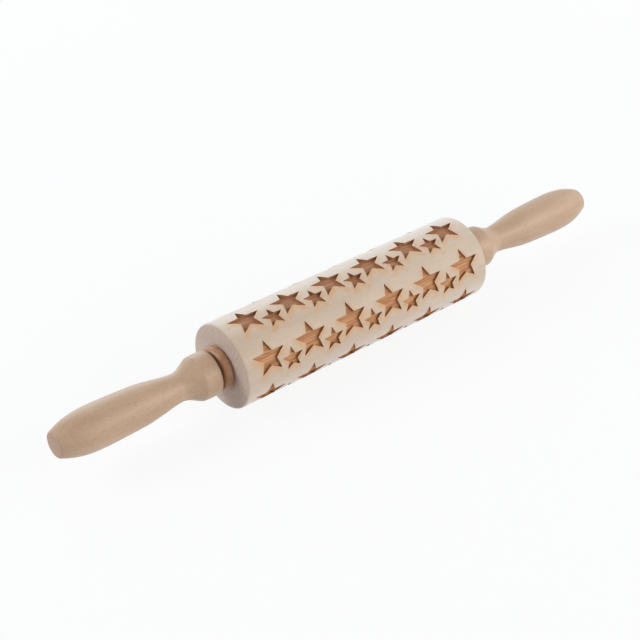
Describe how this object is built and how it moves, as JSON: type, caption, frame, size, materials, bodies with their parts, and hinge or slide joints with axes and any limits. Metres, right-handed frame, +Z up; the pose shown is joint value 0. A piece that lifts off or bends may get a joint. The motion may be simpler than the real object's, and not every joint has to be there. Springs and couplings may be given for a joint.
{
  "type": "embossed rolling pin",
  "caption": "Rolling pin: a beech roller engraved all round with star pockets turns on a rod between slim turned handles with collars.",
  "frame": {"origin": "on the table, straight below the middle of the roller", "axes": "+X along the pin, from the left handle to the right one; +Z up"},
  "size_m": [0.35, 0.045, 0.0449],
  "materials": {
    "roller_wood": "raw sanded beech, star pockets burnt brown",
    "handle_wood": "smooth satin beech",
    "bush_wood": "waxed darker hardwood",
    "rod_steel": "drawn bright steel"
  },
  "bodies": {
    "handles": {"axle_rod": "rod_steel", "handle_left": "handle_wood", "handle_right": "handle_wood"},
    "roller": {"roller_barrel": "roller_wood", "bush_left": "bush_wood", "bush_right": "bush_wood"}
  },
  "joints": [
    {"name": "roller_spin", "type": "hinge", "parent": "handles", "child": "roller", "pos_m": [0, 0, 0.02245], "axis": [1, 0, 0], "continuous": true}
  ]
}
